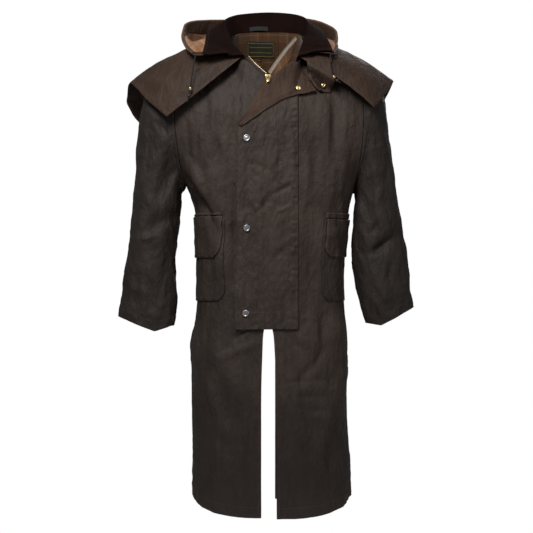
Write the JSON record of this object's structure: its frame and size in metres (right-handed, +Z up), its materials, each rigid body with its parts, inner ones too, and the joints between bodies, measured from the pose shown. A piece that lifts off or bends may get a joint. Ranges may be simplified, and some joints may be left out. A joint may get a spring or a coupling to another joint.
{
  "type": "duster coat",
  "caption": "Long waxed-cotton duster coat with a shoulder cape, corduroy collar, folded hood, storm flap over a zip, flapped side pockets and a back vent, hollow as when worn.",
  "frame": {"origin": "between the wearer's shoulders, at half the coat's depth, on the upright line through the middle of the coat", "axes": "+Z up from hem to collar, the front faces -Y, +X is the wearer's left"},
  "size_m": [0.7275, 0.3461, 1.258],
  "materials": {
    "waxed_cotton": "waxed, dull sheen",
    "waxed_cotton_inside": "waxed, dull sheen",
    "corduroy": "ribbed pile",
    "plaid_lining": "brushed cotton check",
    "label": "woven",
    "tape": "woven",
    "zip_tape": "woven",
    "zip_metal": "dull",
    "brass": "polished",
    "snap_metal": "polished",
    "cord": "braided",
    "toggle": "matte"
  },
  "bodies": {
    "coat": {"front_right": "waxed_cotton", "front_left": "waxed_cotton", "back_right": "waxed_cotton", "back_left": "waxed_cotton", "sleeve_right": "waxed_cotton", "sleeve_left": "waxed_cotton", "cape": "waxed_cotton", "hood_shell": "waxed_cotton", "hood_lining": "plaid_lining", "collar": "corduroy", "storm_flap": "waxed_cotton", "storm_flap_revers": "waxed_cotton_inside", "throat_tab": "waxed_cotton", "pocket_right": "waxed_cotton", "pocket_left": "waxed_cotton", "pocket_flap_right": "waxed_cotton", "pocket_flap_left": "waxed_cotton", "pocket_welt_right": "waxed_cotton", "pocket_welt_left": "waxed_cotton", "neck_lining": "plaid_lining", "label": "label", "size_tab": "label", "hang_loop": "tape", "facing_left": "plaid_lining", "zip_tape_left": "zip_tape", "zip_tape_right": "zip_tape", "zip_chain": "zip_metal", "zip_slider": "brass", "zip_bridge": "brass", "flap_snap_1": "snap_metal", "flap_snap_2": "snap_metal", "flap_snap_3": "snap_metal", "revers_snap": "brass", "tab_snap": "brass", "drawcord_right": "cord", "drawcord_left": "cord", "ferrule_right": "brass", "ferrule_left": "brass", "toggle_right": "toggle", "toggle_left": "toggle"},
    "zip_pull": {"zip_pull": "brass"}
  },
  "joints": [
    {"name": "zip_pull_hinge", "type": "hinge", "parent": "coat", "child": "zip_pull", "pos_m": [0, -0.1199, -0.0575], "axis": [1, 0, 0], "range_deg": [-100, 0]}
  ]
}
